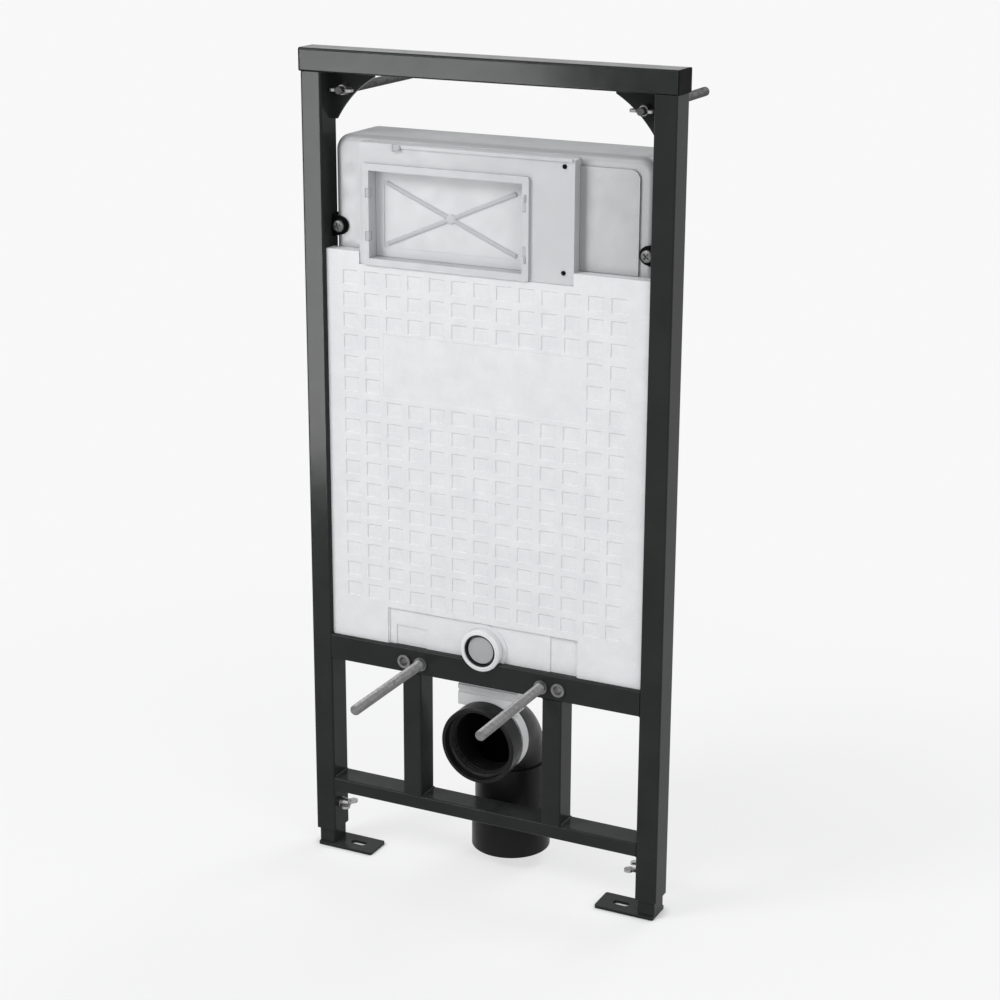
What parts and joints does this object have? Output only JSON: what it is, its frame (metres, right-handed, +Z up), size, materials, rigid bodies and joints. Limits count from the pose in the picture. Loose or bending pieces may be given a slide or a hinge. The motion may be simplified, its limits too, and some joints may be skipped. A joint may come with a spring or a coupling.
{
  "type": "wall hung toilet frame",
  "caption": "Tall steel pre-wall frame that carries a concealed cistern, insulation panel, flush outlet, waste elbow and bowl rods, on telescopic feet.",
  "frame": {"origin": "on the floor, on the underside of the left foot plate, under the axis of the left post", "axes": "+Z up, +X to the right seen from the front, +Y towards the wall behind the frame"},
  "size_m": [0.524, 0.406, 1.12],
  "materials": {
    "powder_coated_steel": "charcoal powder coat",
    "zinc_steel": "dull zinc plate",
    "black_plastic": "fine grain",
    "waste_plastic": "satin black",
    "white_plastic": "satin white",
    "grey_plastic": "mid grey",
    "cistern_plastic": "grey white",
    "access_plastic": "bluish white",
    "polystyrene": "white bead foam",
    "rubber": "dull black"
  },
  "bodies": {
    "left_foot": {"left_leg": "powder_coated_steel", "left_foot_plate": "powder_coated_steel"},
    "frame": {"access_cover": "access_plastic", "access_frame": "access_plastic", "bolt_rail": "powder_coated_steel", "bottom_rail": "powder_coated_steel", "cistern": "cistern_plastic", "flush_bend": "black_plastic", "flush_plug": "grey_plastic", "flush_ring": "white_plastic", "insulation_panel": "polystyrene", "left_bowl_rod": "zinc_steel", "left_cistern_clip": "black_plastic", "left_clip_screw": "zinc_steel", "left_gusset": "powder_coated_steel", "left_leg_wing_bolt": "zinc_steel", "left_post": "powder_coated_steel", "left_rod_insert": "zinc_steel", "left_spare_insert": "zinc_steel", "left_upright": "powder_coated_steel", "left_wall_rod": "zinc_steel", "left_wing_nut": "zinc_steel", "right_bowl_rod": "zinc_steel", "right_cistern_clip": "black_plastic", "right_clip_screw": "zinc_steel", "right_gusset": "powder_coated_steel", "right_leg_wing_bolt": "zinc_steel", "right_post": "powder_coated_steel", "right_rod_insert": "zinc_steel", "right_spare_insert": "zinc_steel", "right_upright": "powder_coated_steel", "right_wall_rod": "zinc_steel", "right_wing_nut": "zinc_steel", "top_bar": "powder_coated_steel", "top_bar_end_cap_left": "black_plastic", "top_bar_end_cap_right": "black_plastic", "waste_clamp": "white_plastic", "waste_elbow": "waste_plastic", "waste_holder": "white_plastic", "waste_reducer": "waste_plastic", "waste_seal": "rubber"},
    "right_foot": {"right_leg": "powder_coated_steel", "right_foot_plate": "powder_coated_steel"}
  },
  "joints": [
    {"name": "left_leg_slide", "type": "slide", "parent": "left_foot", "child": "frame", "axis": [0, 0, 1], "range_m": [0, 0.2]},
    {"name": "right_leg_slide", "type": "slide", "parent": "frame", "child": "right_foot", "axis": [0, 0, -1], "range_m": [0, 0.2]}
  ]
}
